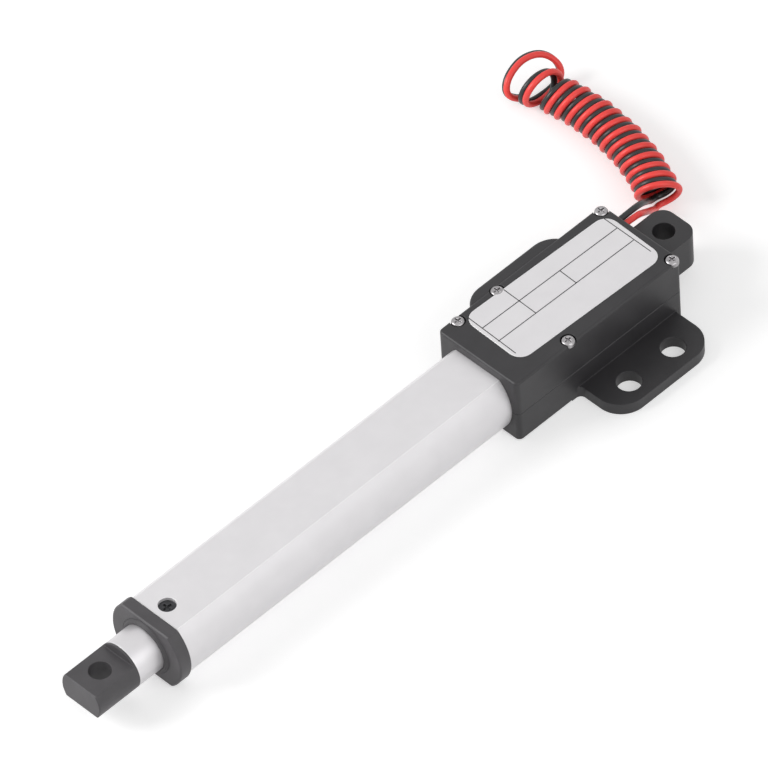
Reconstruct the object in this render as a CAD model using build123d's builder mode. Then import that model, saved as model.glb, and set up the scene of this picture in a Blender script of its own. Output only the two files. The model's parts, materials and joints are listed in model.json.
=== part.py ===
from build123d import *
from math import acos, cos, pi, radians, sin, tan
import os

os.makedirs("parts", exist_ok=True)

# Frame: the origin is on the rear pivot hole's axis, at the height of the rod.
# +X runs along the rod to its tip, +Y towards the side flange, +Z towards the top face.

# Stroke and pivots
stroke = 75.0
fixed_length = 58.0
pivot_hole = 4.0

# Housing
housing_rear = 5.25
housing_length = 39.4
housing_width = 18.6
housing_height_above = 7.6
housing_height_below = 6.4
housing_corner = 0.9
wall = 1.5
floor_wall = 1.35
roof_wall = 1.45
top_edge_round = 0.45
bottom_edge_bevel = 0.3
seam_bevel = 0.12
roof_rib_width = 1.0
roof_rib_share = 0.6
roof_rib_places = (0.25, 0.75)

# Fits that several pieces share
assembly_gap = 0.05
press_fit = 0.01
close_fit = 0.02
cut_margin = 1.0

# Bulge over the gears, on the -Y side
bulge_start = 14.5
bulge_length = 23.3
bulge_depth = 2.2
bulge_round = 5.0
bulge_drop = 0.35
bulge_wall = 1.0
bulge_solid_end = 8.3
bay_corner = 2.0

# Side flange
flange_start = 7.0
flange_length = 23.0
flange_reach = 9.7
flange_thickness = 2.3
flange_corner = 5.0
flange_front_root_round = 1.0
flange_rear_root_round = 0.5
flange_hole = 4.5
flange_hole_spacing = 10.6
flange_hole_reach = 5.4

# Rear lug
lug_tail = 4.1
lug_side_step = 4.9
lug_thickness = 7.0
lug_corner = 2.6

# Housing screws
screw_inset = 0.95
screw_end_inset = 1.15
screw_middle_x = 31.4
screw_front_inset = 3.85
screw_head_diameter = 2.4
screw_head_height = 0.95
screw_head_rise = 0.12
screw_head_round = 0.45
screw_shank_diameter = 1.3
screw_tip_above_base = 1.9
screw_tip_gap = 0.3
screw_notch_gap = 0.2
screw_boss_radius = 1.5
screw_recess_share = 0.58
screw_recess_width = 0.32
screw_recess_depth = 0.4

# Motor, a small can with flat top and bottom
motor_wire_space = 1.65
motor_side_gap = 0.45
motor_length = 12.0
motor_can_wall = 0.5
motor_shaft = 1.0
motor_nose_diameter = 4.0
motor_nose_length = 0.45
motor_cap_thickness = 1.4
rotor_end_gap = 1.3
rotor_slot_depth = 1.3
rotor_slot_width = 0.8
rotor_shaft_stub = 0.3
commutator_diameter = 3.0
commutator_length = 1.8
commutator_gap = 0.3
magnet_thickness = 1.5
magnet_gap = 0.35
magnet_half_angle = 43.0
magnet_overhang = 0.4
terminal_length = 1.2
terminal_width = 1.4
terminal_thickness = 0.3
terminal_spacing = 7.0

# Gear train: four pinion and wheel pairs that go back and forth between two axes
gear_module = 0.3
pinion_teeth = 10
wheel_teeth = 26
tooth_shift = 0.3
tooth_backlash = 0.05
tip_trim = 0.04
tooth_depth_factor = 1.25
pressure_angle = 20.0
gear_face = 0.95
gear_side_gap = 0.2
gear_plate = 0.7
gear_plate_margin = 3.2
gear_plate_corner = 1.5
gear_post = 1.0
pillar_diameter = 0.9
bore_clearance = 0.05

# Output shaft and lead screw
output_shaft = 3.0
drive_flat_depth = 0.35
drive_length = 2.2
drive_end_gap = 0.1
drive_shaft = 2.4
screw_collar_diameter = 6.4
screw_collar_length = 0.9
screw_collar_room = 0.4
screw_end_chamfer = 0.5
screw_tip_inset = 1.0

# Ball bearing that takes the thrust
bearing_bore = 4.0
bearing_diameter = 8.0
bearing_width = 3.0
bearing_rear_gap = 0.6
ball_diameter = 1.1
ball_count = 8
ball_clearance = 0.02
ring_thickness = 0.62

# Tube, with a flat along its top and its bottom
tube_diameter = 15.5
tube_flats = 11.7
tube_wall = 0.8
tube_hole = 3.2
tube_fit = 0.04

# Nut and rod
nut_length = 6.4
nut_rear_gap = 0.9
nut_clearance = 0.1
nut_seat_depth = 3.0
rod_flats_gap = 0.55
rod_sensor_gap = 0.2
rod_wall = 1.65
rod_neck_step = 0.9
rod_screw_gap = 0.45
thread_clearance = 0.06
stroke_end_gap = 0.5

# End cap, wiper and rod end
plug_length = 6.1
cap_gap = 0.15
cap_flange = 2.4
cap_overhang = 0.42
cap_bevel = 0.25
rod_clearance = 0.06
wiper_wall = 0.9
wiper_seat = 1.2
wiper_lip = 0.45
wiper_lip_wall = 0.5
rod_end_length = 9.3
rod_end_collar = 0.4
rod_end_flats = 5.2
rod_end_bevel = 0.15
rod_spigot_length = 7.0
lock_screw_diameter = 3.0
lock_screw_sink = 0.6
lock_screw_height = 0.62
lock_screw_forward = 0.3
lock_recess_length = 1.8
lock_recess_width = 0.45
lock_recess_depth = 0.35

# End of stroke sensing, on a strip inside the tube
strip_thickness = 0.6
strip_width = 4.2
strip_inset = 0.9
strip_rear_reach = 5.0
strip_front_reach = 1.2
strip_slot_depth = 1.5
sensor_length = 3.0
sensor_width = 2.4
sensor_thickness = 0.75
sensor_bevel = 0.12
notch_gap = 0.15
magnet_size = 1.6
magnet_depth = 1.0
magnet_fit = 0.04
magnet_place = 1.6

# Control board beside the motor
board_thickness = 0.6
board_height = 8.4
board_length = 17.0
board_rear_gap = 1.2
diode_length = 3.2
diode_width = 1.9
diode_thickness = 0.7
diode_first = 4.0
diode_spacing = 7.0

# Leads
lead_diameter = 1.15
arc_share = 0.45
lead_spacing = 1.3
lead_exit_z = 4.2
grommet_margin = 0.5
grommet_screw_gap = 0.075
grommet_flange = 0.6
grommet_groove = 0.35
coil_diameter = 7.5
loop_radius = 4.75
loop_bundle = 2.4

# Places along X, from the pivot forward
lug_root = housing_rear + wall
housing_front = housing_rear + housing_length
housing_middle = (housing_rear + housing_front) / 2
half_width = housing_width / 2
bulge_face = half_width + bulge_depth
lug_half_width = half_width - lug_side_step
motor_rear = housing_rear + wall + motor_wire_space
motor_front = motor_rear + motor_length
train_start = motor_front + gear_plate + gear_side_gap
gear_step = gear_face + gear_side_gap
train_end = train_start + 4 * gear_step
front_plate_end = train_end + gear_plate
bearing_rear = front_plate_end + bearing_rear_gap
bearing_front = bearing_rear + bearing_width
collar_front = bearing_front + assembly_gap + screw_collar_length
nut_rear = collar_front + nut_rear_gap
nut_front = nut_rear + nut_length
tube_rear = nut_rear - nut_rear_gap / 2
plug_rear = nut_front + stroke + stroke_end_gap
tube_front = plug_rear + plug_length
cap_rear = tube_front + cap_gap
cap_front = cap_rear + cap_flange
wiper_front = cap_front + wiper_lip
rod_pivot = stroke + fixed_length
rod_end_rear = rod_pivot - rod_end_length / 2
screw_tip = nut_front + stroke - screw_tip_inset

# Room for the motor and the gears: the motor fills the height, and clears the board's diodes
motor_height = 2 * (housing_height_below - floor_wall - assembly_gap)
diode_face = half_width - wall - assembly_gap - board_thickness - diode_thickness
motor_width = 2 * (diode_face - motor_side_gap)
motor_inner = motor_width / 2 - motor_can_wall
motor_inner_flats = motor_height / 2 - motor_can_wall
magnet_outer = motor_inner - assembly_gap
rotor_radius = magnet_outer - magnet_thickness - magnet_gap
gear_plate_half_height = motor_height / 2 - 2 * assembly_gap

# Gear sizes
wheel_pitch = gear_module * wheel_teeth / 2
pinion_pitch = gear_module * pinion_teeth / 2
axis_distance = wheel_pitch + pinion_pitch
post_y = -axis_distance

# Tube inside
tube_radius = tube_diameter / 2
tube_half_flats = tube_flats / 2
bore_radius = tube_radius - tube_wall
bore_half_flats = tube_half_flats - tube_wall
strip_face = bore_radius - strip_inset
sensor_face = strip_face - strip_thickness - sensor_thickness
rod_radius = min(sensor_face - rod_sensor_gap, bore_half_flats - rod_flats_gap)
rod_bore_radius = rod_radius - rod_wall
rod_neck_radius = rod_radius - rod_neck_step
screw_radius = rod_bore_radius - rod_screw_gap
wiper_radius = rod_radius + wiper_wall

# Housing screw places: two pairs and one at the front on the bulge's side
screw_side = half_width - screw_inset
screw_places = [
    (housing_rear + screw_end_inset, screw_side),
    (housing_rear + screw_end_inset, -screw_side),
    (screw_middle_x, screw_side),
    (screw_middle_x, -screw_side),
    (housing_front - screw_front_inset, -screw_side),
]

# Slot of the leads, between the lug and the rear screw
slot_long = lead_spacing + lead_diameter + grommet_margin
slot_high = lead_diameter + grommet_margin
lead_exit_y = screw_shank_diameter / 2 + grommet_screw_gap + slot_long / 2 - screw_side

# Heights of the housing screws
head_top = housing_height_above + screw_head_rise
head_seat = head_top - screw_head_height
screw_bottom = screw_tip_above_base - housing_height_below


def finish(part, name):
    """Label a piece and write it to its file."""
    part.label = name
    export_step(part, f"parts/{name}.step")
    print(name, len(part.solids()), round(part.volume, 2))


def flatted_circle(plane, radius, half_flats):
    """A circle cut by two level flats, seen along the rod."""
    with BuildSketch(plane) as outline:
        Circle(radius)
        Rectangle(2 * radius, 2 * half_flats, mode=Mode.INTERSECT)
    return outline.sketch


def involute(angle):
    return tan(angle) - angle


def toothed_outline(plane, teeth, shift, first_tooth):
    """A gear's outline, with involute flanks in two straight steps each."""
    pitch = gear_module * teeth / 2
    base = pitch * cos(radians(pressure_angle))
    root = pitch - gear_module * (tooth_depth_factor - shift)
    tip = pitch + gear_module * (1 + shift) - tip_trim
    half_pitch_angle = (pi / 2 + 2 * shift * tan(radians(pressure_angle))) / teeth
    half_pitch_angle -= tooth_backlash / (2 * pitch)
    start = max(base, root)
    flank = [start, (start + 2 * tip) / 3, tip]
    half_angles = [
        half_pitch_angle + involute(radians(pressure_angle)) - involute(acos(base / radius))
        for radius in flank
    ]
    points = []
    for tooth in range(teeth):
        middle = radians(first_tooth) + 2 * pi * tooth / teeth
        side = [(root, half_angles[0])] + list(zip(flank, half_angles))
        if root >= base:
            side = side[1:]
        for radius, half in side:
            points.append((radius * cos(middle - half), radius * sin(middle - half)))
        for radius, half in reversed(side):
            points.append((radius * cos(middle + half), radius * sin(middle + half)))
    with BuildSketch(plane) as outline:
        with BuildLine():
            Polyline(*points, close=True)
        make_face()
    return outline.sketch


# Directions between the two gear axes, as angles in the YZ plane
towards_post = 180.0
towards_main = 0.0
wheel_gap_turn = 180.0 / wheel_teeth


def wheel_and_pinion(start, centre_y, towards_mates):
    """A wheel driven on its rear half and the pinion in front of it, in one piece."""
    wheel_plane = Plane((start, centre_y, 0), x_dir=(0, 1, 0), z_dir=(1, 0, 0))
    pinion_plane = wheel_plane.offset(gear_face)
    wheel = toothed_outline(wheel_plane, wheel_teeth, -tooth_shift, towards_mates + wheel_gap_turn)
    pinion = toothed_outline(pinion_plane, pinion_teeth, tooth_shift, towards_mates)
    with BuildPart() as gear:
        extrude(wheel, amount=gear_face)
        extrude(pinion, amount=gear_step)
        with BuildSketch(wheel_plane):
            Circle(gear_post / 2 + bore_clearance)
        extrude(amount=gear_face + gear_step, mode=Mode.SUBTRACT)
    return gear.part


def bulge_outline(plane, inset):
    """The bulge's plan, a stadium whose outer side stands off the housing."""
    with BuildSketch(plane) as outline:
        with Locations((bulge_start + bulge_length / 2, bulge_round - bulge_face)):
            SlotOverall(bulge_length - 2 * inset, 2 * (bulge_round - inset))
    return outline.sketch


def cavity_outline(plane):
    """The room for motor and gears, with the corners kept solid round the screws."""
    with BuildSketch(plane) as outline:
        room_start = housing_rear + wall
        room_length = front_plate_end + assembly_gap - room_start
        with Locations((room_start + room_length / 2, 0)):
            Rectangle(room_length, housing_width - 2 * wall)
        bay_start = bulge_start + bulge_wall
        bay_length = bulge_start + bulge_length - bulge_solid_end - bay_start
        with Locations((bay_start + bay_length / 2, bulge_round - bulge_face)):
            RectangleRounded(bay_length, 2 * (bulge_round - bulge_wall), bay_corner)
        with Locations(*screw_places):
            Circle(screw_boss_radius, mode=Mode.SUBTRACT)
    return outline.sketch


def lug_outline(plane, root, gap):
    """The rear lug's plan, from its tail to a root inside the housing."""
    with BuildSketch(plane) as outline:
        with BuildLine():
            half = lug_half_width + gap
            FilletPolyline(
                (root, half), (-lug_tail, half), (-lug_tail, -half), (root, -half), radius=lug_corner
            )
            Line((root, -half), (root, half))
        make_face()
    return outline.sketch


def seats_along_rod(low, high):
    """The turned seats that both shells share: bearing, screw collar, tube and strip."""
    spans = [
        (front_plate_end - cut_margin, bearing_rear, bearing_diameter / 2 - ring_thickness),
        (bearing_rear, bearing_front, bearing_diameter / 2 + press_fit),
        (bearing_front, tube_rear, screw_collar_diameter / 2 + screw_collar_room),
    ]
    with BuildPart() as seats:
        for start, end, radius in spans:
            with BuildSketch(Plane.YZ.offset(start)):
                Circle(radius)
            extrude(amount=end - start)
        socket = flatted_circle(
            Plane.YZ.offset(tube_rear), tube_radius + tube_fit, tube_half_flats + tube_fit
        )
        extrude(socket, amount=housing_front + cut_margin - tube_rear)
        with BuildSketch(Plane.YZ.offset(front_plate_end - cut_margin)):
            with Locations((strip_face - strip_thickness / 2, 0)):
                Rectangle(strip_thickness + 2 * notch_gap, strip_width + 2 * notch_gap)
        extrude(amount=tube_rear + cut_margin - front_plate_end)
        with BuildSketch(Plane.XY.offset(low)):
            with Locations((housing_middle, 0)):
                Rectangle(2 * housing_length, 2 * housing_width)
        extrude(amount=high - low, mode=Mode.INTERSECT)
    return seats.part


# Lower housing, with the rear lug and the side flange
cavity_floor = floor_wall - housing_height_below
with BuildPart() as lower_housing:
    extrude(bulge_outline(Plane.XY.offset(-housing_height_below), 0), amount=housing_height_below)
    with BuildSketch(Plane.XY.offset(-housing_height_below)):
        with Locations((housing_middle, 0)):
            RectangleRounded(housing_length, housing_width, housing_corner)
    extrude(amount=housing_height_below)
    chamfer(lower_housing.edges().group_by(Axis.Z)[0], bottom_edge_bevel)
    chamfer(lower_housing.edges().group_by(Axis.Z)[-1], seam_bevel)
    with BuildSketch(Plane.XY.offset(-housing_height_below)):
        with BuildLine():
            flange_end = flange_start + flange_length
            rim = half_width - press_fit
            outer = half_width + flange_reach
            FilletPolyline(
                (flange_start - 2 * flange_rear_root_round, rim),
                (flange_start, rim),
                (flange_start, outer),
                (flange_end, outer),
                (flange_end, rim),
                (flange_end + 2 * flange_front_root_round, rim),
                radius=[
                    flange_rear_root_round,
                    flange_corner,
                    flange_corner,
                    flange_front_root_round,
                ],
            )
            Polyline(
                (flange_end + 2 * flange_front_root_round, rim),
                (flange_end, 0),
                (flange_start, 0),
                (flange_start - 2 * flange_rear_root_round, rim),
            )
        make_face()
    extrude(amount=flange_thickness)
    extrude(lug_outline(Plane.XY.offset(-lug_thickness / 2), lug_root, 0), amount=lug_thickness)
    extrude(
        cavity_outline(Plane.XY.offset(cavity_floor)),
        amount=-cavity_floor + lug_thickness,
        mode=Mode.SUBTRACT,
    )
    add(seats_along_rod(-housing_height_below, 0), mode=Mode.SUBTRACT)
    with BuildSketch(Plane.XY.offset(-lug_thickness)):
        Circle(pivot_hole / 2)
    extrude(amount=2 * lug_thickness, mode=Mode.SUBTRACT)
    flange_hole_y = half_width + flange_hole_reach
    with BuildSketch(Plane.XY.offset(-housing_height_below)):
        with Locations((flange_start + flange_length / 2, flange_hole_y)):
            with GridLocations(flange_hole_spacing, 1, 2, 1):
                Circle(flange_hole / 2)
    extrude(amount=flange_thickness, mode=Mode.SUBTRACT)
    with BuildSketch(Plane.XY.offset(screw_bottom - screw_tip_gap)):
        with Locations(*screw_places):
            Circle(screw_shank_diameter / 2 + close_fit)
    extrude(amount=housing_height_below, mode=Mode.SUBTRACT)
finish(lower_housing.part, "lower_housing")

# Upper housing
cavity_roof = housing_height_above - roof_wall
with BuildPart() as upper_housing:
    extrude(bulge_outline(Plane.XY, 0), amount=housing_height_above - bulge_drop)
    fillet(upper_housing.edges().group_by(Axis.Z)[-1], top_edge_round)
    with BuildSketch(Plane.XY):
        with Locations((housing_middle, 0)):
            RectangleRounded(housing_length, housing_width, housing_corner)
    extrude(amount=housing_height_above)
    fillet(upper_housing.edges().group_by(Axis.Z)[-1], top_edge_round)
    chamfer(upper_housing.edges().group_by(Axis.Z)[0], seam_bevel)
    extrude(cavity_outline(Plane.XY), amount=cavity_roof, mode=Mode.SUBTRACT)
    rib_height = cavity_roof - motor_height / 2 - assembly_gap
    with BuildSketch(Plane.XY.offset(cavity_roof - rib_height)):
        with Locations(*[(motor_rear + motor_length * share, 0) for share in roof_rib_places]):
            Rectangle(roof_rib_width, motor_width * roof_rib_share)
    extrude(amount=rib_height)
    add(seats_along_rod(0, housing_height_above), mode=Mode.SUBTRACT)
    extrude(
        lug_outline(Plane.XY, motor_rear, assembly_gap),
        amount=lug_thickness / 2 + assembly_gap,
        mode=Mode.SUBTRACT,
    )
    with BuildSketch(Plane.XY):
        with Locations(*screw_places):
            Circle(screw_shank_diameter / 2 + bore_clearance)
    extrude(amount=housing_height_above, mode=Mode.SUBTRACT)
    with BuildSketch(Plane.XY.offset(head_seat)):
        with Locations(*screw_places):
            Circle(screw_head_diameter / 2 + screw_notch_gap)
    extrude(amount=housing_height_above, mode=Mode.SUBTRACT)
    with BuildSketch(Plane.YZ.offset(housing_rear - cut_margin)):
        with Locations((lead_exit_y, lead_exit_z)):
            SlotOverall(slot_long, slot_high)
    extrude(amount=wall + 2 * cut_margin, mode=Mode.SUBTRACT)
finish(upper_housing.part, "upper_housing")

# Housing screws, a group of five with crossed recesses
with BuildPart() as housing_screws:
    with BuildSketch(Plane.XY.offset(screw_bottom)):
        with Locations(*screw_places):
            Circle(screw_shank_diameter / 2)
    extrude(amount=head_seat - screw_bottom)
    with BuildSketch(Plane.XY.offset(head_seat)):
        with Locations(*screw_places):
            Circle(screw_head_diameter / 2)
    extrude(amount=screw_head_height)
    fillet(housing_screws.edges().group_by(Axis.Z)[-1], screw_head_round)
    with BuildSketch(Plane.XY.offset(head_top - screw_recess_depth)):
        with Locations(*screw_places):
            Rectangle(screw_head_diameter * screw_recess_share, screw_recess_width)
            Rectangle(screw_recess_width, screw_head_diameter * screw_recess_share)
    extrude(amount=screw_recess_depth, mode=Mode.SUBTRACT)
finish(housing_screws.part, "housing_screws")

# Motor can, open at the back
with BuildPart() as motor_can:
    extrude(
        flatted_circle(Plane.YZ.offset(motor_rear), motor_width / 2, motor_height / 2),
        amount=motor_length,
    )
    extrude(
        flatted_circle(Plane.YZ.offset(motor_rear), motor_inner, motor_inner_flats),
        amount=motor_length - motor_can_wall,
        mode=Mode.SUBTRACT,
    )
    with BuildSketch(Plane.YZ.offset(motor_front)):
        Circle(motor_nose_diameter / 2)
    extrude(amount=motor_nose_length)
    with BuildSketch(Plane.YZ.offset(motor_rear)):
        Circle(motor_shaft / 2 + bore_clearance)
    extrude(amount=motor_length + motor_nose_length, mode=Mode.SUBTRACT)
finish(motor_can.part, "motor_can")

# Motor end cap, a moulded plug that carries the brushes
with BuildPart() as motor_end_cap:
    extrude(
        flatted_circle(
            Plane.YZ.offset(motor_rear), motor_inner - assembly_gap, motor_inner_flats - assembly_gap
        ),
        amount=motor_cap_thickness,
    )
    with BuildSketch(Plane.YZ.offset(motor_rear)):
        Circle(motor_shaft / 2 + bore_clearance)
        with GridLocations(terminal_spacing, 1, 2, 1):
            Rectangle(terminal_thickness, terminal_width)
    extrude(amount=motor_cap_thickness, mode=Mode.SUBTRACT)
finish(motor_end_cap.part, "motor_end_cap")

# Motor terminals
with BuildPart() as motor_terminals:
    with BuildSketch(Plane.YZ.offset(motor_rear - terminal_length)):
        with GridLocations(terminal_spacing, 1, 2, 1):
            Rectangle(terminal_thickness - close_fit, terminal_width - close_fit)
    extrude(amount=terminal_length + motor_cap_thickness)
finish(motor_terminals.part, "motor_terminals")

# Motor magnets, two arcs against the can's round sides
commutator_rear = motor_rear + motor_cap_thickness + commutator_gap
core_start = commutator_rear + commutator_length + commutator_gap
core_end = motor_front - motor_can_wall - rotor_end_gap
with BuildPart() as motor_magnets:
    with BuildSketch(Plane.YZ.offset(core_start - magnet_overhang)):
        Circle(magnet_outer)
        Circle(magnet_outer - magnet_thickness, mode=Mode.SUBTRACT)
        wedge_height = 2 * motor_inner * sin(radians(magnet_half_angle))
        Rectangle(2 * motor_inner, wedge_height, mode=Mode.INTERSECT)
    extrude(amount=core_end - core_start + 2 * magnet_overhang)
finish(motor_magnets.part, "motor_magnets")

# Rotor: wound core, commutator and shaft
rotor_shaft_rear = motor_rear - rotor_shaft_stub
rotor_shaft_front = train_start + gear_face
with BuildPart() as motor_rotor:
    with BuildSketch(Plane.YZ.offset(rotor_shaft_rear)):
        Circle(motor_shaft / 2)
    extrude(amount=rotor_shaft_front - rotor_shaft_rear)
    with BuildSketch(Plane.YZ.offset(commutator_rear)):
        Circle(commutator_diameter / 2)
    extrude(amount=commutator_length)
    with BuildSketch(Plane.YZ.offset(core_start)):
        Circle(rotor_radius)
        with PolarLocations(rotor_radius, 3):
            Rectangle(2 * rotor_slot_depth, rotor_slot_width, mode=Mode.SUBTRACT)
    extrude(amount=core_end - core_start)
finish(motor_rotor.part, "motor_rotor")

# Motor pinion
with BuildPart() as motor_pinion:
    extrude(
        toothed_outline(Plane.YZ.offset(train_start), pinion_teeth, tooth_shift, towards_post),
        amount=gear_face,
    )
    with BuildSketch(Plane.YZ.offset(train_start)):
        Circle(motor_shaft / 2 + press_fit)
    extrude(amount=gear_face, mode=Mode.SUBTRACT)
finish(motor_pinion.part, "motor_pinion")

# The three double gears and the output wheel
finish(wheel_and_pinion(train_start, post_y, towards_main), "first_gear")
finish(wheel_and_pinion(train_start + gear_step, 0, towards_post), "second_gear")
finish(wheel_and_pinion(train_start + 2 * gear_step, post_y, towards_main), "third_gear")

output_wheel_start = train_start + 3 * gear_step
with BuildPart() as output_wheel:
    extrude(
        toothed_outline(
            Plane.YZ.offset(output_wheel_start), wheel_teeth, -tooth_shift, towards_post + wheel_gap_turn
        ),
        amount=gear_face,
    )
    with BuildSketch(Plane.YZ.offset(output_wheel_start)):
        Circle(output_shaft / 2 + press_fit)
    extrude(amount=gear_face, mode=Mode.SUBTRACT)
finish(output_wheel.part, "output_wheel")


# Gear plates, pillars and post
def gear_plate_outline(plane, main_hole):
    plate_end = motor_width / 2
    plate_start = post_y - gear_plate_margin
    with BuildSketch(plane) as outline:
        with Locations(((plate_start + plate_end) / 2, 0)):
            RectangleRounded(plate_end - plate_start, 2 * gear_plate_half_height, gear_plate_corner)
        Circle(main_hole / 2, mode=Mode.SUBTRACT)
        with Locations((post_y, 0)):
            Circle(gear_post / 2 + press_fit, mode=Mode.SUBTRACT)
    return outline.sketch


with BuildPart() as rear_gear_plate:
    extrude(
        gear_plate_outline(Plane.YZ.offset(motor_front), motor_nose_diameter + 2 * assembly_gap),
        amount=gear_plate,
    )
finish(rear_gear_plate.part, "rear_gear_plate")

with BuildPart() as front_gear_plate:
    extrude(
        gear_plate_outline(Plane.YZ.offset(train_end), output_shaft + 2 * bore_clearance),
        amount=gear_plate,
    )
finish(front_gear_plate.part, "front_gear_plate")

pillar_places = [
    (motor_width / 2 - pillar_diameter, gear_plate_half_height - pillar_diameter),
    (motor_width / 2 - pillar_diameter, pillar_diameter - gear_plate_half_height),
    (post_y / 2, gear_plate_half_height - pillar_diameter / 2),
    (post_y / 2, pillar_diameter / 2 - gear_plate_half_height),
]
with BuildPart() as gearbox_pillars:
    with BuildSketch(Plane.YZ.offset(motor_front + gear_plate)):
        with Locations(*pillar_places):
            Circle(pillar_diameter / 2)
    extrude(amount=train_end - motor_front - gear_plate)
finish(gearbox_pillars.part, "gearbox_pillars")

with BuildPart() as gear_post_pin:
    with BuildSketch(Plane.YZ.offset(motor_front)):
        with Locations((post_y, 0)):
            Circle(gear_post / 2)
    extrude(amount=front_plate_end - motor_front)
finish(gear_post_pin.part, "gear_post")

# Output shaft: a thin pin that carries the second gear, a seat for the wheel, a flatted drive end
drive_start = bearing_rear
with BuildPart() as output_shaft_part:
    with BuildSketch(Plane.YZ.offset(train_start + gear_step)):
        Circle(gear_post / 2)
    extrude(amount=2 * gear_step)
    with BuildSketch(Plane.YZ.offset(output_wheel_start)):
        Circle(output_shaft / 2)
    extrude(amount=drive_start - output_wheel_start)
    extrude(
        flatted_circle(
            Plane.YZ.offset(drive_start), drive_shaft / 2, drive_shaft / 2 - drive_flat_depth
        ),
        amount=drive_length,
    )
finish(output_shaft_part.part, "output_shaft")

# Lead screw, with a journal for the bearing and a thrust collar
with BuildPart() as lead_screw:
    with BuildSketch(Plane.YZ.offset(bearing_rear + assembly_gap)):
        Circle(bearing_bore / 2)
    extrude(amount=bearing_width)
    with BuildSketch(Plane.YZ.offset(bearing_front + assembly_gap)):
        Circle(screw_collar_diameter / 2)
    extrude(amount=screw_collar_length)
    with BuildSketch(Plane.YZ.offset(collar_front)):
        Circle(screw_radius)
    extrude(amount=screw_tip - collar_front)
    chamfer(lead_screw.edges().sort_by(Axis.X)[-1], screw_end_chamfer)
    extrude(
        flatted_circle(
            Plane.YZ.offset(bearing_rear + assembly_gap),
            drive_shaft / 2 + bore_clearance,
            drive_shaft / 2 - drive_flat_depth + bore_clearance,
        ),
        amount=drive_length + drive_end_gap,
        mode=Mode.SUBTRACT,
    )
finish(lead_screw.part, "lead_screw")

# Ball bearing
ball_circle = (bearing_bore + bearing_diameter) / 4
race_radius = ball_diameter / 2 + ball_clearance
bearing_middle = (bearing_rear + bearing_front) / 2


def bearing_ring(inner, outer):
    """A ring turned about the X axis, with the groove that the balls run in."""
    with BuildPart() as ring:
        with BuildSketch(Plane.XY):
            with Locations((bearing_middle, (inner + outer) / 2)):
                Rectangle(bearing_width, outer - inner)
            with Locations((bearing_middle, ball_circle)):
                Circle(race_radius, mode=Mode.SUBTRACT)
        revolve(axis=Axis.X)
    return ring.part


finish(
    bearing_ring(bearing_diameter / 2 - ring_thickness, bearing_diameter / 2), "bearing_outer_ring"
)
finish(
    bearing_ring(bearing_bore / 2 + press_fit, bearing_bore / 2 + ring_thickness),
    "bearing_inner_ring",
)

with BuildPart() as bearing_balls:
    with Locations(Plane.YZ.offset(bearing_middle)):
        with PolarLocations(ball_circle, ball_count):
            Sphere(ball_diameter / 2)
finish(bearing_balls.part, "bearing_balls")

# Tube, with the lock screw's hole and notches that the housing screws pass
with BuildPart() as tube:
    extrude(
        flatted_circle(Plane.YZ.offset(tube_rear), tube_radius, tube_half_flats),
        amount=tube_front - tube_rear,
    )
    extrude(
        flatted_circle(Plane.YZ.offset(tube_rear), bore_radius, bore_half_flats),
        amount=tube_front - tube_rear,
        mode=Mode.SUBTRACT,
    )
    lock_screw_x = tube_front - plug_length / 2 + lock_screw_forward
    with BuildSketch(Plane.XY):
        with Locations((lock_screw_x, 0)):
            Circle(tube_hole / 2)
    extrude(amount=tube_radius, mode=Mode.SUBTRACT)
    with BuildSketch(Plane.XY.offset(-tube_radius)):
        with Locations(*screw_places):
            Circle(screw_shank_diameter / 2 + 2 * bore_clearance)
    extrude(amount=tube_diameter, mode=Mode.SUBTRACT)
finish(tube.part, "tube")

# Nut, keyed by the tube's flats, with a seat for the rod and a notch that passes the sensors
nut_radius = bore_radius - nut_clearance
nut_half_flats = bore_half_flats - nut_clearance
notch_floor = sensor_face - notch_gap
with BuildPart() as drive_nut:
    extrude(
        flatted_circle(Plane.YZ.offset(nut_rear), nut_radius, nut_half_flats), amount=nut_length
    )
    with BuildSketch(Plane.YZ.offset(nut_rear)):
        Circle(screw_radius + thread_clearance)
    extrude(amount=nut_length, mode=Mode.SUBTRACT)
    with BuildSketch(Plane.YZ.offset(nut_front - nut_seat_depth)):
        Circle(rod_neck_radius + close_fit)
    extrude(amount=nut_seat_depth, mode=Mode.SUBTRACT)
    with BuildSketch(Plane.YZ.offset(nut_rear)):
        with Locations(((notch_floor + tube_radius) / 2, 0)):
            Rectangle(tube_radius - notch_floor, strip_width + 4 * notch_gap)
    extrude(amount=nut_length, mode=Mode.SUBTRACT)
    magnet_x = nut_rear + magnet_place
    with BuildSketch(Plane.XZ.offset(-notch_floor)):
        with Locations((magnet_x, 0)):
            Rectangle(magnet_size, magnet_size)
    extrude(amount=magnet_depth, mode=Mode.SUBTRACT)
finish(drive_nut.part, "drive_nut")

with BuildPart() as nut_magnet:
    with BuildSketch(Plane.XZ.offset(-notch_floor)):
        with Locations((magnet_x, 0)):
            Rectangle(magnet_size - magnet_fit, magnet_size - magnet_fit)
    extrude(amount=magnet_depth)
finish(nut_magnet.part, "nut_magnet")

# Rod, hollow so that the screw fits inside
with BuildPart() as rod:
    with BuildSketch(Plane.YZ.offset(nut_front - nut_seat_depth)):
        Circle(rod_neck_radius)
    extrude(amount=nut_seat_depth)
    with BuildSketch(Plane.YZ.offset(nut_front)):
        Circle(rod_radius)
    extrude(amount=rod_end_rear - nut_front)
    with BuildSketch(Plane.YZ.offset(nut_front - nut_seat_depth)):
        Circle(rod_bore_radius)
    extrude(amount=rod_end_rear - nut_front + nut_seat_depth, mode=Mode.SUBTRACT)
finish(rod.part, "rod")

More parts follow.
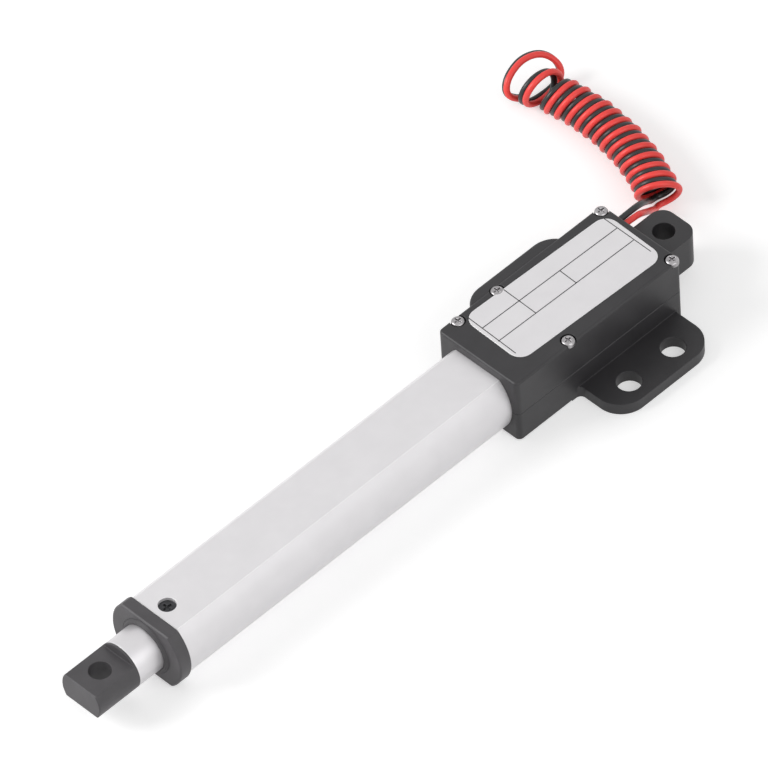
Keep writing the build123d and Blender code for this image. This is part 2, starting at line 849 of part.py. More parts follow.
# Rod end, flatted on top and bottom, with the front pivot hole
with BuildPart() as rod_end:
    with BuildSketch(Plane.YZ.offset(rod_end_rear)):
        Circle(rod_radius)
    extrude(amount=rod_end_collar)
    extrude(
        flatted_circle(
            Plane.YZ.offset(rod_end_rear + rod_end_collar), rod_radius, rod_end_flats / 2
        ),
        amount=rod_end_length - rod_end_collar,
    )
    chamfer(rod_end.faces().sort_by(Axis.X)[-1].edges(), rod_end_bevel)
    with BuildSketch(Plane.YZ.offset(rod_end_rear - rod_spigot_length)):
        Circle(rod_bore_radius - close_fit)
    extrude(amount=rod_spigot_length)
    with BuildSketch(Plane.XY.offset(-rod_radius)):
        with Locations((rod_pivot, 0)):
            Circle(pivot_hole / 2)
    extrude(amount=2 * rod_radius, mode=Mode.SUBTRACT)
finish(rod_end.part, "rod_end")

# End cap: a plug in the tube and a bevelled flange in front of it
with BuildPart() as end_cap:
    extrude(
        flatted_circle(
            Plane.YZ.offset(cap_rear), tube_radius + cap_overhang, tube_half_flats + cap_overhang / 2
        ),
        amount=cap_flange,
    )
    chamfer(end_cap.faces().sort_by(Axis.X)[-1].edges(), cap_bevel)
    extrude(
        flatted_circle(
            Plane.YZ.offset(plug_rear), bore_radius - assembly_gap, bore_half_flats - assembly_gap
        ),
        amount=plug_length + cap_gap,
    )
    with BuildSketch(Plane.YZ.offset(plug_rear)):
        Circle(rod_radius + rod_clearance)
    extrude(amount=cap_front - plug_rear, mode=Mode.SUBTRACT)
    with BuildSketch(Plane.YZ.offset(cap_front - wiper_seat)):
        Circle(wiper_radius)
    extrude(amount=wiper_seat, mode=Mode.SUBTRACT)
    with BuildSketch(Plane.YZ.offset(plug_rear)):
        with Locations((strip_face - strip_thickness / 2, 0)):
            Rectangle(strip_thickness + 2 * notch_gap, strip_width + 2 * notch_gap)
    extrude(amount=strip_slot_depth, mode=Mode.SUBTRACT)
    with BuildSketch(Plane.XY):
        with Locations((lock_screw_x, 0)):
            Circle(lock_screw_diameter / 2 + close_fit)
    extrude(amount=tube_half_flats, mode=Mode.SUBTRACT)
finish(end_cap.part, "end_cap")

# Lock screw, a low slotted disc in the tube's hole
lock_screw_top = tube_half_flats - lock_screw_sink
with BuildPart() as cap_lock_screw:
    with BuildSketch(Plane.XY.offset(lock_screw_top - lock_screw_height)):
        with Locations((lock_screw_x, 0)):
            Circle(lock_screw_diameter / 2)
    extrude(amount=lock_screw_height)
    with BuildSketch(Plane.XY.offset(lock_screw_top - lock_recess_depth)):
        with Locations((lock_screw_x, 0)):
            Rectangle(lock_recess_length, lock_recess_width)
            Rectangle(lock_recess_width, lock_recess_length)
    extrude(amount=lock_recess_depth, mode=Mode.SUBTRACT)
finish(cap_lock_screw.part, "cap_lock_screw")

# Wiper seal, whose lip stands round the rod in front of the cap
with BuildPart() as wiper_seal:
    with BuildSketch(Plane.XY):
        with BuildLine():
            lip = rod_radius + rod_clearance
            Polyline(
                (cap_front - wiper_seat, lip),
                (cap_front - wiper_seat, wiper_radius - close_fit),
                (cap_front, wiper_radius - close_fit),
                (wiper_front, rod_radius + wiper_lip_wall),
                (wiper_front, lip),
                close=True,
            )
        make_face()
    revolve(axis=Axis.X)
finish(wiper_seal.part, "wiper_seal")

# Sensor strip and its two end sensors
strip_rear = tube_rear - strip_rear_reach
strip_front = plug_rear + strip_front_reach
with BuildPart() as sensor_strip:
    with BuildSketch(Plane.XZ.offset(-strip_face)):
        with Locations(((strip_rear + strip_front) / 2, 0)):
            Rectangle(strip_front - strip_rear, strip_width)
    extrude(amount=strip_thickness)
finish(sensor_strip.part, "sensor_strip")


def end_sensor(middle_x):
    with BuildPart() as sensor:
        with BuildSketch(Plane.XZ.offset(strip_thickness - strip_face)):
            with Locations((middle_x, 0)):
                Rectangle(sensor_length, sensor_width)
        extrude(amount=sensor_thickness)
        chamfer(sensor.edges().group_by(Axis.Y)[0], sensor_bevel)
    return sensor.part


finish(end_sensor(magnet_x), "rear_end_sensor")
finish(end_sensor(magnet_x + stroke), "front_end_sensor")

# Control board beside the motor, with two diodes
board_face = half_width - wall - assembly_gap
board_rear = housing_rear + wall + board_rear_gap
with BuildPart() as control_board:
    with BuildSketch(Plane.XZ.offset(-board_face)):
        with Locations((board_rear + board_length / 2, 0)):
            Rectangle(board_length, board_height)
    extrude(amount=board_thickness)
finish(control_board.part, "control_board")

with BuildPart() as diodes:
    with BuildSketch(Plane.XZ.offset(board_thickness - board_face)):
        with Locations(
            (board_rear + diode_first, 0), (board_rear + diode_first + diode_spacing, 0)
        ):
            Rectangle(diode_length, diode_width)
    extrude(amount=diode_thickness)
    chamfer(diodes.edges().group_by(Axis.Y)[0], sensor_bevel)
finish(diodes.part, "diodes")

# Grommet in the rear wall
with BuildPart() as wire_grommet:
    with BuildSketch(Plane.YZ.offset(housing_rear - grommet_flange)):
        with Locations((lead_exit_y, lead_exit_z)):
            SlotOverall(slot_long + grommet_groove, slot_high + 2 * grommet_groove)
    extrude(amount=grommet_flange)
    with BuildSketch(Plane.YZ.offset(housing_rear)):
        with Locations((lead_exit_y, lead_exit_z)):
            SlotOverall(slot_long - 2 * close_fit, slot_high - 2 * close_fit)
    extrude(amount=wall)
    with BuildSketch(Plane.YZ.offset(housing_rear)):
        with Locations((lead_exit_y, lead_exit_z)):
            with GridLocations(lead_spacing, 1, 2, 1):
                Circle(lead_diameter / 2 + close_fit)
    extrude(amount=wall, mode=Mode.SUBTRACT)
finish(wire_grommet.part, "wire_grommet")

# Leads. They leave the grommet, drop behind the lug and wind into one coil on the ground.
lead_start_x = housing_rear - grommet_flange
red_route = [
    (lead_start_x, lead_exit_y + lead_spacing / 2, lead_exit_z),
    (0.8, -5.5, 4.2),
    (-3.0, -5.7, 2.75),
    (-6.6, -6.2, 0.6),
    (-9.6, -7.3, -1.6),
    (-11.85, -9.39, -2.9),
    (-13.11, -12.12, -2.9),
]
black_route = [
    (lead_start_x, lead_exit_y - lead_spacing / 2, lead_exit_z),
    (0.8, -6.8, 4.2),
    (-2.9, -7.0, 3.5),
    (-6.2, -7.5, 1.3),
    (-8.9, -8.6, -1.5),
    (-10.84, -10.3, -2.9),
    (-11.93, -12.66, -2.9),
]


def tangent_arc_radii(points):
    """One bend radius for each inner point, as large as the two runs beside it allow."""
    radii = []
    for before, here, after in zip(points, points[1:], points[2:]):
        arriving = Vector(*here) - Vector(*before)
        leaving = Vector(*after) - Vector(*here)
        half_turn = radians(arriving.get_angle(leaving)) / 2
        radii.append(arc_share * min(arriving.length, leaving.length) / tan(half_turn))
    return radii


def lead_tube(route):
    radii = tangent_arc_radii(route)
    print("bend radii", [round(radius, 1) for radius in radii])
    with BuildPart() as lead:
        with BuildLine() as path:
            FilletPolyline(*route, radius=radii)
        with BuildSketch(Plane(origin=path.line @ 0, z_dir=path.line % 0)):
            Circle(lead_diameter / 2)
        sweep()
    section_times_length = pi * lead_diameter**2 / 4 * path.wires()[0].length
    print("lead volume", round(lead.part.volume, 3), "section times length", round(section_times_length, 3))
    return lead.part


finish(lead_tube(red_route), "lead_red")
finish(lead_tube(black_route), "lead_black")

# Outer shape of the coil, and of the larger turn at its far end
coil_height = coil_diameter / 2 - housing_height_below
coil_near = (-10.8, -13.2, coil_height)
coil_middle = (-14.85, -28.5, coil_height)
coil_far = (-13.9, -42.5, coil_height)
with BuildPart() as lead_coil:
    with BuildLine() as coil_path:
        ThreePointArc(coil_near, coil_middle, coil_far)
    with BuildSketch(Plane(origin=coil_path.line @ 0, z_dir=coil_path.line % 0)):
        Circle(coil_diameter / 2)
    sweep()
finish(lead_coil.part, "lead_coil")

loop_centre = (-14.7, -44.9, -1.55)
loop_normal = (0.1, 0.75, 0.66)
with BuildPart(Plane(origin=loop_centre, z_dir=loop_normal)) as lead_end_loop:
    Torus(loop_radius, loop_bundle / 2)
finish(lead_end_loop.part, "lead_end_loop")
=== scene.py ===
import bpy
import json
import math
from mathutils import Matrix, Vector


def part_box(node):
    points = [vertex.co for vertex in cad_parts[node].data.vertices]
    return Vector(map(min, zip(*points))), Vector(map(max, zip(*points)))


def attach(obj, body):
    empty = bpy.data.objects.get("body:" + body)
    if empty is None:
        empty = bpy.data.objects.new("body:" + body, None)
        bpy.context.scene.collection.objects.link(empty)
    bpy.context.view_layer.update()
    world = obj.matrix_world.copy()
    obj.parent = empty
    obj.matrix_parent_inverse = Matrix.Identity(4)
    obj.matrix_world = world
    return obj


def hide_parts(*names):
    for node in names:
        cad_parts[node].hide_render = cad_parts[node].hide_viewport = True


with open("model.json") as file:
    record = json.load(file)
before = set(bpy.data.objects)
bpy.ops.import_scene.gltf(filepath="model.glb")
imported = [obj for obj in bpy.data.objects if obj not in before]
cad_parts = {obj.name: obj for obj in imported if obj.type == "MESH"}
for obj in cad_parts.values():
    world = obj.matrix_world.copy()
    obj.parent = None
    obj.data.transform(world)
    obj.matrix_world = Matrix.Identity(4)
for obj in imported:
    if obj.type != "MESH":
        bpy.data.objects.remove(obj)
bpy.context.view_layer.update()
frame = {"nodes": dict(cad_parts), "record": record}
nodes = frame["nodes"]


# camera, at the photograph's place and angle
cameraPlace = {
    "location": (0.98603, 1.02037, 1.51892),
    "right": (-0.7069, 0.7058, -0.0465),
    "up": (-0.5438, -0.5004, 0.6737),
    "lens": 575.0,
    "sensor": 36.0,
    "nearest": 0.05,
    "farthest": 20,
}
cameraData = bpy.data.cameras.new("camera")
cameraData.lens = cameraPlace["lens"]
cameraData.sensor_width = cameraPlace["sensor"]
cameraData.clip_start = cameraPlace["nearest"]
cameraData.clip_end = cameraPlace["farthest"]
camera = bpy.data.objects.new("camera", cameraData)
bpy.context.scene.collection.objects.link(camera)
right = Vector(cameraPlace["right"]).normalized()
up = Vector(cameraPlace["up"])
up = (up - right * up.dot(right)).normalized()
turn = Matrix((right, up, right.cross(up))).transposed().to_4x4()
camera.matrix_world = Matrix.Translation(cameraPlace["location"]) @ turn
bpy.context.scene.camera = camera
print("camera placed")


# two leads: from the grommet down beside the lug, along the coil, a wider turn and an end loop
leads = {
    "diameter": 0.00115,
    "ground": -0.0064,
    "bendCentre": (0.03091, -0.03243),  # the coil's axis is an arc about this place
    "bendRadius": 0.04593,
    "bendStart": 2.7097,
    "coilStart": -0.0030,
    "coilRadius": 0.0033,
    "innerRadius": 0.0030,  # the black lead lies inside the red one
    "turns": 12.75,
    "pitch": 0.00238,
    "perTurn": 12,  # points of the curve in each turn
    "firstStep": -3,  # the routes join the coil a quarter turn early
    "lean": 0.3,
    "nearLean": 0.12,  # the turns near the housing lean and widen more
    "nearStretch": 0.13,
    "tuck": 0.00030,  # draws the black lead's first turns in, less with each turn
    "tuckSoftness": 1.75,
    "tuckFade": 3,
    "tuckShift": 1.5,
    "radiusWaver": 0.00005,  # hand-wound turns aren't quite even
    "radiusWaverRate": 2.3,
    "pitchWaver": 0.00008,
    "pitchWaverRate": 1.7,
    "looseGrowth": 0.00045,  # the wider turn after the coil
    "loosePitch": 0.0022,
    "looseSwing": 0.0046,
    "pairGap": 0.00113,  # from the red lead to the black one, along the coil
    "pairOffset": (-0.00049, -0.00088, -0.00068),  # and in the end loop
    "spanSteps": 5,
    "ringSteps": 6,
}
redRoute = [
    (0.00465, -0.0055, 0.0042), (0.0008, -0.0055, 0.0042), (-0.0014, -0.0061, 0.0026),
    (-0.0040, -0.0076, -0.0002), (-0.0064, -0.0093, -0.0030), (-0.0084, -0.0105, -0.0052),
]
blackRoute = [
    (0.00465, -0.0068, 0.0042), (0.0008, -0.0068, 0.0044), (-0.0021, -0.0074, 0.0034),
    (-0.0045, -0.0086, 0.0011), (-0.0065, -0.0102, -0.0015), (-0.0085, -0.0118, -0.0042),
]
endLoop = [
    (-0.0170, -0.0432, -0.0053), (-0.0192, -0.0434, -0.0041), (-0.0199, -0.0444, -0.0024),
    (-0.0191, -0.0461, -0.0007), (-0.0172, -0.0473, 0.0004), (-0.0143, -0.0479, 0.0007),
    (-0.0116, -0.0477, 0.0000), (-0.0097, -0.0472, -0.0011), (-0.0091, -0.0467, -0.0029),
    (-0.0100, -0.0461, -0.0044), (-0.0113, -0.0455, -0.0050),
]


def coilPoint(turnsDone, along, radius):
    # a place on the coil, whose turns lean towards the housing
    phase = 2 * math.pi * turnsDone
    nearness = 1 / (1 + max(turnsDone, 0))
    lean = leads["lean"] + leads["nearLean"] * nearness
    bend = leads["bendStart"] + (along - lean * radius * math.sin(phase)) / leads["bendRadius"]
    wide = radius * (1 + leads["nearStretch"] * nearness)
    reach = leads["bendRadius"] + wide * math.cos(phase)
    middle = leads["ground"] + leads["diameter"] / 2 + max(radius, leads["coilRadius"])
    return (
        leads["bendCentre"][0] + reach * math.cos(bend),
        leads["bendCentre"][1] + reach * math.sin(bend),
        middle + radius * math.sin(phase),
    )


def leadPoints(route, shift=0, coilRadius=leads["coilRadius"], tuck=0, offset=(0, 0, 0)):
    # the whole run of one lead, from the grommet to its bare end
    points = list(route)
    start = leads["coilStart"] + shift
    steps = round(leads["turns"] * leads["perTurn"])
    for step in range(leads["firstStep"], steps + 1):
        done = step / leads["perTurn"]
        tucked = tuck / (leads["tuckSoftness"] + leads["tuckFade"] * done)
        radius = coilRadius - tucked
        radius += leads["radiusWaver"] * math.sin(leads["radiusWaverRate"] * done)
        along = start + leads["pitch"] * done + leads["tuckShift"] * tucked
        along += leads["pitchWaver"] * math.sin(leads["pitchWaverRate"] * done)
        points.append(coilPoint(done, along, radius))
    for step in range(1, leads["perTurn"] + 1):
        share = step / leads["perTurn"]
        radius = coilRadius + leads["looseGrowth"] * math.sin(math.pi / 2 * share)
        along = start + leads["pitch"] * leads["turns"] + leads["loosePitch"] * share
        along += leads["looseSwing"] * share * math.sin(math.pi * share)
        points.append(coilPoint(leads["turns"] + share, along, radius))
    lowest = leads["ground"] + leads["diameter"] / 2
    for place in endLoop:
        x, y, z = Vector(place) + Vector(offset)
        points.append((x, y, max(z, lowest)))
    return points


def makeLead(name, points):
    curve = bpy.data.curves.new(name, "CURVE")
    curve.dimensions = "3D"
    spline = curve.splines.new("NURBS")
    spline.points.add(len(points) - 1)
    for target, place in zip(spline.points, points):
        target.co = (*place, 1)
        target.radius = leads["diameter"] / 2
    spline.order_u = 3
    spline.use_endpoint_u = True
    spline.resolution_u = leads["spanSteps"]
    curve.bevel_depth = 1  # times each point's radius
    curve.bevel_resolution = leads["ringSteps"]
    curve.use_fill_caps = True
    lead = bpy.data.objects.new(name, curve)
    bpy.context.scene.collection.objects.link(lead)
    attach(lead, "housing")
    return lead


redLead = makeLead("lead_red_coiled", leadPoints(redRoute))
blackPoints = leadPoints(
    blackRoute, shift=leads["pairGap"], coilRadius=leads["innerRadius"], tuck=leads["tuck"],
    offset=leads["pairOffset"],
)
blackLead = makeLead("lead_black_coiled", blackPoints)
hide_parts("lead_red", "lead_coil", "lead_end_loop")
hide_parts("lead_black")
print("leads wound")


# rating plate: left bare but for its ruled lines
plate = {
    "centre": (0.0234, -0.0006),
    "size": (0.0335, 0.0140),
    "turn": -0.0297,
    "corner": 0.0025,
    "cornerSteps": 8,
    "thickness": 0.00006,
    "lineWidth": 0.00017,
    "lineHeight": 0.000012,  # above the plate
    "lines": [
        ((0.03957, -0.00002), (0.00762, 0.00050)),
        ((0.03922, -0.00409), (0.00757, -0.00350)),
        ((0.03916, -0.00769), (0.03951, 0.00402)),
        ((0.00742, -0.00680), (0.00752, 0.00446)),
        ((0.03055, -0.00770), (0.03072, 0.00012)),
        ((0.02107, -0.00375), (0.02120, 0.00028)),
    ],
}
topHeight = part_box("upper_housing")[1][2]


def addStrip(name, start, end, width, height, thickness):
    # a flat strip from start to end, with its foot at the given height
    run = Vector(end) - Vector(start)
    middle = (Vector(start) + Vector(end)) / 2
    bpy.ops.object.select_all(action="DESELECT")
    bpy.ops.mesh.primitive_plane_add(size=1, location=(middle.x, middle.y, height))
    strip = bpy.context.object
    strip.name = name
    strip.data.name = name
    strip.scale = (run.length, width, 1)
    strip.rotation_euler = (0, 0, math.atan2(run.y, run.x))
    bpy.ops.object.transform_apply(location=True, rotation=True, scale=True)
    bpy.ops.object.mode_set(mode="EDIT")
    bpy.ops.mesh.select_all(action="SELECT")
    bpy.ops.mesh.extrude_region_move(TRANSFORM_OT_translate={"value": (0, 0, thickness)})
    bpy.ops.mesh.select_all(action="SELECT")
    bpy.ops.mesh.normals_make_consistent(inside=False)
    bpy.ops.object.mode_set(mode="OBJECT")
    return strip


def selectUprights(piece):
    # the plate's four corner edges
    bpy.ops.object.mode_set(mode="EDIT")
    bpy.ops.mesh.select_mode(type="EDGE")
    bpy.ops.mesh.select_all(action="DESELECT")
    bpy.ops.object.mode_set(mode="OBJECT")
    for edge in piece.data.edges:
        low, high = (piece.data.vertices[corner].co for corner in edge.vertices)
        edge.select = abs(low.z - high.z) > plate["thickness"] / 2
    bpy.ops.object.mode_set(mode="EDIT")


halfLength = Vector((math.cos(plate["turn"]), math.sin(plate["turn"]))) * plate["size"][0] / 2
centre = Vector(plate["centre"])
ratingPlate = addStrip(
    "rating_plate", centre - halfLength, centre + halfLength, plate["size"][1],
    topHeight, plate["thickness"],
)
selectUprights(ratingPlate)
bpy.ops.mesh.bevel(offset=plate["corner"], segments=plate["cornerSteps"])
bpy.ops.object.mode_set(mode="OBJECT")
halfThickness = plate["thickness"] / 2  # the lines start halfway down the plate
ruledLines = [
    addStrip("ruled_lines", start, end, plate["lineWidth"],
             topHeight + halfThickness, halfThickness + plate["lineHeight"])
    for start, end in plate["lines"]
]
bpy.ops.object.select_all(action="DESELECT")
for line in ruledLines:
    line.select_set(True)
bpy.context.view_layer.objects.active = ruledLines[0]
bpy.ops.object.join()
plateLines = bpy.context.object
plateLines.name = "rating_plate_lines"
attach(ratingPlate, "housing")
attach(plateLines, "housing")
print("rating plate laid")


# shared effects
def newGroup(name, inputs, outputs):
    # a shader node group with its named inputs and outputs
    group = bpy.data.node_groups.new(name, "ShaderNodeTree")
    for label, kind, value in inputs:
        socket = group.interface.new_socket(name=label, in_out="INPUT", socket_type=kind)
        socket.default_value = value
    for label, kind in outputs:
        group.interface.new_socket(name=label, in_out="OUTPUT", socket_type=kind)
    start = group.nodes.new("NodeGroupInput")
    end = group.nodes.new("NodeGroupOutput")
    return group, start, end


grainPattern = {"fineDetail": 3, "broadScale": 180, "broadDetail": 4}


def makeGrainGroup():
    # fine moulded or blasted grain: a height and a roughness that vary over the surface
    group, start, end = newGroup(
        "surfaceGrain",
        [("Scale", "NodeSocketFloat", 4000.0), ("Roughness", "NodeSocketFloat", 0.5),
         ("Spread", "NodeSocketFloat", 0.1)],
        [("Height", "NodeSocketFloat"), ("Roughness", "NodeSocketFloat")],
    )
    add, link = group.nodes.new, group.links.new
    place = add("ShaderNodeTexCoord")
    fine = add("ShaderNodeTexNoise")
    fine.inputs["Detail"].default_value = grainPattern["fineDetail"]
    broad = add("ShaderNodeTexNoise")
    broad.inputs["Scale"].default_value = grainPattern["broadScale"]
    broad.inputs["Detail"].default_value = grainPattern["broadDetail"]
    link(place.outputs["Object"], fine.inputs["Vector"])
    link(place.outputs["Object"], broad.inputs["Vector"])
    link(start.outputs["Scale"], fine.inputs["Scale"])
    link(fine.outputs["Fac"], end.inputs["Height"])
    centred = add("ShaderNodeMath")
    centred.operation = "SUBTRACT"
    centred.inputs[1].default_value = 0.5  # the middle of the noise
    link(broad.outputs["Fac"], centred.inputs[0])
    sized = add("ShaderNodeMath")
    sized.operation = "MULTIPLY_ADD"
    link(centred.outputs[0], sized.inputs[0])
    link(start.outputs["Spread"], sized.inputs[1])
    link(start.outputs["Roughness"], sized.inputs[2])
    link(sized.outputs[0], end.inputs["Roughness"])
    return group


wearAndHighlightPattern = {
    "samples": 6,
    "flattest": 0.995,  # normals that agree more than this are no edge
    "scale": 900,
    "detail": 5,
}


def makeEdgeGroup():
    # a mask that is 1 along sharp edges, partly for wear and partly for a painted highlight
    # along them
    group, start, end = newGroup(
        "edgeWearAndHighlight",
        [("Width", "NodeSocketFloat", 0.0002), ("Strength", "NodeSocketFloat", 1.0),
         ("Sharpest", "NodeSocketFloat", 0.85)],
        [("Mask", "NodeSocketFloat"), ("Normal", "NodeSocketVector")],
    )
    add, link = group.nodes.new, group.links.new
    rounded = add("ShaderNodeBevel")
    rounded.samples = wearAndHighlightPattern["samples"]
    link(start.outputs["Width"], rounded.inputs["Radius"])
    flat = add("ShaderNodeNewGeometry")
    facing = add("ShaderNodeVectorMath")
    facing.operation = "DOT_PRODUCT"
    link(rounded.outputs["Normal"], facing.inputs[0])
    link(flat.outputs["Normal"], facing.inputs[1])
    ramp = add("ShaderNodeMapRange")
    ramp.inputs["From Min"].default_value = wearAndHighlightPattern["flattest"]
    link(start.outputs["Sharpest"], ramp.inputs["From Max"])
    link(facing.outputs["Value"], ramp.inputs["Value"])
    place = add("ShaderNodeTexCoord")
    broken = add("ShaderNodeTexNoise")
    broken.inputs["Scale"].default_value = wearAndHighlightPattern["scale"]
    broken.inputs["Detail"].default_value = wearAndHighlightPattern["detail"]
    link(place.outputs["Object"], broken.inputs["Vector"])
    patchy = add("ShaderNodeMath")
    patchy.operation = "MULTIPLY"
    link(ramp.outputs["Result"], patchy.inputs[0])
    link(broken.outputs["Fac"], patchy.inputs[1])
    strong = add("ShaderNodeMath")
    strong.operation = "MULTIPLY"
    strong.use_clamp = True
    link(patchy.outputs[0], strong.inputs[0])
    link(start.outputs["Strength"], strong.inputs[1])
    link(strong.outputs[0], end.inputs["Mask"])
    link(rounded.outputs["Normal"], end.inputs["Normal"])
    return group


grainGroup = makeGrainGroup()
edgeGroup = makeEdgeGroup()


def placeGroup(tree, group, **values):
    # the shared effect with this material's own values
    node = tree.nodes.new("ShaderNodeGroup")
    node.node_tree = group
    for name, value in values.items():
        node.inputs[name].default_value = value
    return node


patchPattern = {
    "detail": 6,
    "low": 0.3,
    "high": 0.7,
    "wearAndHighlightGain": 2.2,  # worn edges, with their painted highlight, are this much paler
    "wearAndHighlightLift": 0.02,
    "grainHeight": 0.00004,
}


def makeMaterial(name, colour, shade, roughness, spread=0.12, grain=4000, bump=0.15, edge=0.0002,
                 wearAndHighlight=0.6, sharpest=0.85, metallic=0.0, patches=250):
    # colour and its darker shade in soft patches, a grain, and lighter edges that are partly
    # wear and partly a painted highlight
    material = bpy.data.materials.new(name)
    material.use_nodes = True
    tree = material.node_tree
    add, link = tree.nodes.new, tree.links.new
    surface = tree.nodes["Principled BSDF"]
    surface.inputs["Metallic"].default_value = metallic
    place = add("ShaderNodeTexCoord")
    patch = add("ShaderNodeTexNoise")
    patch.inputs["Scale"].default_value = patches
    patch.inputs["Detail"].default_value = patchPattern["detail"]
    link(place.outputs["Object"], patch.inputs["Vector"])
    tint = add("ShaderNodeValToRGB")
    tint.color_ramp.elements[0].position = patchPattern["low"]
    tint.color_ramp.elements[1].position = patchPattern["high"]
    tint.color_ramp.elements[0].color = (*shade, 1)
    tint.color_ramp.elements[1].color = (*colour, 1)
    link(patch.outputs["Fac"], tint.inputs["Fac"])
    wornAndHighlit = placeGroup(tree, edgeGroup, Width=edge, Strength=wearAndHighlight, Sharpest=sharpest)
    lighter = add("ShaderNodeMix")
    lighter.data_type = "RGBA"
    gain, lift = patchPattern["wearAndHighlightGain"], patchPattern["wearAndHighlightLift"]
    # the edges are painted paler: partly wear, partly a painted highlight
    lighter.inputs["B"].default_value = (*[min(1, gain * part + lift) for part in colour], 1)
    link(wornAndHighlit.outputs["Mask"], lighter.inputs["Factor"])
    link(tint.outputs["Color"], lighter.inputs["A"])
    link(lighter.outputs["Result"], surface.inputs["Base Color"])
    grainNode = placeGroup(tree, grainGroup, Scale=grain, Roughness=roughness, Spread=spread)
    link(grainNode.outputs["Roughness"], surface.inputs["Roughness"])
    raised = add("ShaderNodeBump")
    raised.inputs["Strength"].default_value = bump
    raised.inputs["Distance"].default_value = patchPattern["grainHeight"]
    link(grainNode.outputs["Height"], raised.inputs["Height"])
    link(wornAndHighlit.outputs["Normal"], raised.inputs["Normal"])
    link(raised.outputs["Normal"], surface.inputs["Normal"])
    return material


finishLooks = {
    "black_plastic": {
        "name": "mouldedBlackPlastic", "colour": (0.027, 0.0255, 0.028),
        "shade": (0.020, 0.019, 0.021), "roughness": 0.46, "grain": 5200, "bump": 0.35,
    },
    "anodised_aluminium": {
        "name": "anodisedAluminium", "colour": (0.80, 0.785, 0.80),
        "shade": (0.77, 0.755, 0.77), "roughness": 0.45, "grain": 7000, "bump": 0.08,
        # a strong painted highlight line along the tube's edges
        "metallic": 0.4, "edge": 0.00015, "wearAndHighlight": 2.5, "sharpest": 0.975,
    },
    "rod_metal": {
        "name": "turnedRod", "colour": (0.72, 0.705, 0.72),
        "shade": (0.68, 0.665, 0.68), "roughness": 0.42, "grain": 6000, "bump": 0.08,
        "metallic": 0.8,
    },
    "screw_steel": {
        "name": "nickelScrew", "colour": (0.45, 0.435, 0.445),
        "shade": (0.27, 0.262, 0.267), "roughness": 0.34, "grain": 6000, "bump": 0.1,
        "metallic": 1.0, "edge": 0.00008, "patches": 1500,
    },
    "plated_steel": {
        "name": "platedSteel", "colour": (0.6, 0.6, 0.6),
        "shade": (0.5, 0.5, 0.5), "roughness": 0.32, "metallic": 1.0,
    },
    "gear_steel": {
        "name": "sinteredSteel", "colour": (0.5, 0.5, 0.5),
        "shade": (0.4, 0.4, 0.4), "roughness": 0.45, "metallic": 1.0,
    },
    "bearing_steel": {
        "name": "bearingSteel", "colour": (0.7, 0.7, 0.71),
        "shade": (0.62, 0.62, 0.63), "roughness": 0.15, "metallic": 1.0,
    },
    "dark_steel": {
        "name": "blackenedSteel", "colour": (0.05, 0.05, 0.055),
        "shade": (0.03, 0.03, 0.033), "roughness": 0.38, "metallic": 0.6, "edge": 0.0001,
    },
    "brass": {
        "name": "machinedBrass", "colour": (0.72, 0.56, 0.28),
        "shade": (0.6, 0.45, 0.2), "roughness": 0.3, "metallic": 1.0,
    },
    "white_nylon": {
        "name": "mouldedNylon", "colour": (0.82, 0.81, 0.76),
        "shade": (0.76, 0.74, 0.68), "roughness": 0.42,
    },
    "dark_magnet": {
        "name": "ferriteMagnet", "colour": (0.09, 0.09, 0.1),
        "shade": (0.06, 0.06, 0.07), "roughness": 0.6,
    },
    "wound_core": {
        "name": "woundCore", "colour": (0.5, 0.23, 0.1),
        "shade": (0.36, 0.15, 0.06), "roughness": 0.35, "metallic": 0.7,
    },
    "board_green": {
        "name": "solderMask", "colour": (0.04, 0.24, 0.1),
        "shade": (0.03, 0.18, 0.08), "roughness": 0.3,
    },
    "dark_resin": {
        "name": "mouldedResin", "colour": (0.03, 0.03, 0.033),
        "shade": (0.02, 0.02, 0.022), "roughness": 0.5,
    },
    "black_rubber": {
        "name": "mattRubber", "colour": (0.06, 0.057, 0.061),
        "shade": (0.048, 0.046, 0.049), "roughness": 0.6, "grain": 6500,
    },
    "red_insulation": {
        "name": "redInsulation", "colour": (1.0, 0.072, 0.062),
        "shade": (0.94, 0.06, 0.052), "roughness": 0.4, "bump": 0.05, "wearAndHighlight": 0,
    },
    "black_insulation": {
        "name": "blackInsulation", "colour": (0.016, 0.02, 0.021),
        "shade": (0.011, 0.014, 0.015), "roughness": 0.35, "bump": 0.05, "wearAndHighlight": 0,
    },
}
finishes = {slot: makeMaterial(**look) for slot, look in finishLooks.items()}
# the cap and the rod end get a paler copy of the black plastic: painted light for the stronger
# light that falls on them at the front
paintedLitEndPlastic = makeMaterial(
    "endPlasticPaintedLit", colour=(0.073, 0.069, 0.074), shade=(0.056, 0.053, 0.057),
    roughness=0.5, grain=5200, bump=0.4, wearAndHighlight=0.2,
)
slotOf = {part["node"]: part["material_slot"] for part in frame["record"]["subparts"]}
for name, piece in nodes.items():
    piece.data.materials.clear()
    piece.data.materials.append(finishes[slotOf[name]])
for name in ("end_cap", "rod_end"):
    nodes[name].data.materials[0] = paintedLitEndPlastic
redLead.data.materials.append(finishes["red_insulation"])
blackLead.data.materials.append(finishes["black_insulation"])
ratingPlate.data.materials.append(finishes["anodised_aluminium"])
plateLines.data.materials.append(finishes["dark_resin"])
print("finishes set")


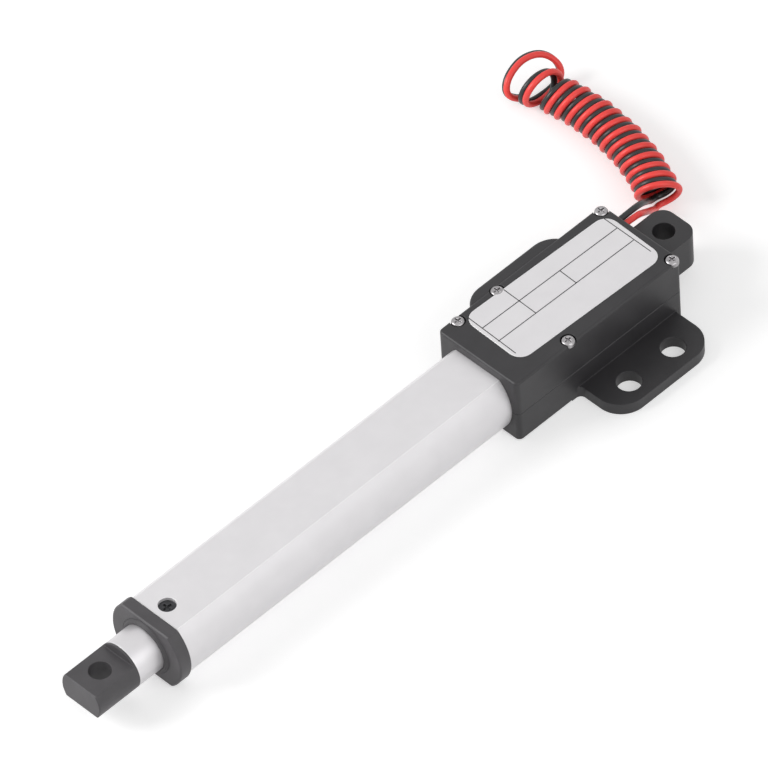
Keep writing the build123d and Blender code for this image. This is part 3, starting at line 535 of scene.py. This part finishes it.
# floor, a pale sheet that fades into the backdrop, and plain soft light
studio = {
    "floorSize": 6.0,
    "middle": (0.066, 0),
    "floorDrop": 0.00002,
    "floorColour": (0.78, 0.78, 0.78, 1),
    "floorRoughness": 0.9,
    "floorGlow": 0.46,
    "ambient": 0.4,
    "backdrop": 1.0,
    "lampTarget": (0.06, 0, 0),
    "lamps": {
        "keyLamp": {"place": (0.8, -0.6, 0.6), "size": 0.5, "power": 7.5},
        "fillLamp": {"place": (0.1, 0.9, 0.6), "size": 0.8, "power": 3.5},
    },
}
bpy.ops.object.select_all(action="DESELECT")
floorPlace = (*studio["middle"], leads["ground"] - studio["floorDrop"])
bpy.ops.mesh.primitive_plane_add(size=studio["floorSize"], location=floorPlace)
floor = bpy.context.object
floor.name = "floor"


def cameraAndShine(tree):
    # 1 for camera, glossy and transmission rays
    add, link = tree.nodes.new, tree.links.new
    path = add("ShaderNodeLightPath")
    first = add("ShaderNodeMath")
    first.operation = "MAXIMUM"
    link(path.outputs["Is Camera Ray"], first.inputs[0])
    link(path.outputs["Is Glossy Ray"], first.inputs[1])
    second = add("ShaderNodeMath")
    second.operation = "MAXIMUM"
    link(first.outputs[0], second.inputs[0])
    link(path.outputs["Is Transmission Ray"], second.inputs[1])
    return second.outputs[0]


floorMaterial = bpy.data.materials.new("paleFloor")
floorMaterial.use_nodes = True
floorTree = floorMaterial.node_tree
floorSurface = floorTree.nodes["Principled BSDF"]
floorSurface.inputs["Base Color"].default_value = studio["floorColour"]
floorSurface.inputs["Roughness"].default_value = studio["floorRoughness"]
floorSurface.inputs["Emission Color"].default_value = (1, 1, 1, 1)
glow = floorTree.nodes.new("ShaderNodeMath")
glow.operation = "MULTIPLY"
glow.inputs[1].default_value = studio["floorGlow"]
floorTree.links.new(cameraAndShine(floorTree), glow.inputs[0])
floorTree.links.new(glow.outputs[0], floorSurface.inputs["Emission Strength"])
floor.data.materials.append(floorMaterial)

world = bpy.data.worlds.new("studio")
world.use_nodes = True
bpy.context.scene.world = world
worldTree = world.node_tree
backdrop = worldTree.nodes["Background"]
backdrop.inputs["Color"].default_value = (1, 1, 1, 1)
level = worldTree.nodes.new("ShaderNodeMix")
level.inputs["A"].default_value = studio["ambient"]
level.inputs["B"].default_value = studio["backdrop"]
worldTree.links.new(cameraAndShine(worldTree), level.inputs["Factor"])
worldTree.links.new(level.outputs["Result"], backdrop.inputs["Strength"])


def addLamp(name, place, size, power):
    data = bpy.data.lights.new(name, "AREA")
    data.shape = "SQUARE"
    data.size = size
    data.energy = power
    lamp = bpy.data.objects.new(name, data)
    lamp.location = place
    lamp.rotation_mode = "QUATERNION"
    aim = Vector(studio["lampTarget"]) - Vector(place)
    lamp.rotation_quaternion = aim.to_track_quat("-Z", "Y")
    bpy.context.scene.collection.objects.link(lamp)


for name, lamp in studio["lamps"].items():
    addLamp(name, **lamp)
bpy.context.scene.view_settings.view_transform = "Standard"
print("stage lit")

bpy.context.view_layer.update()
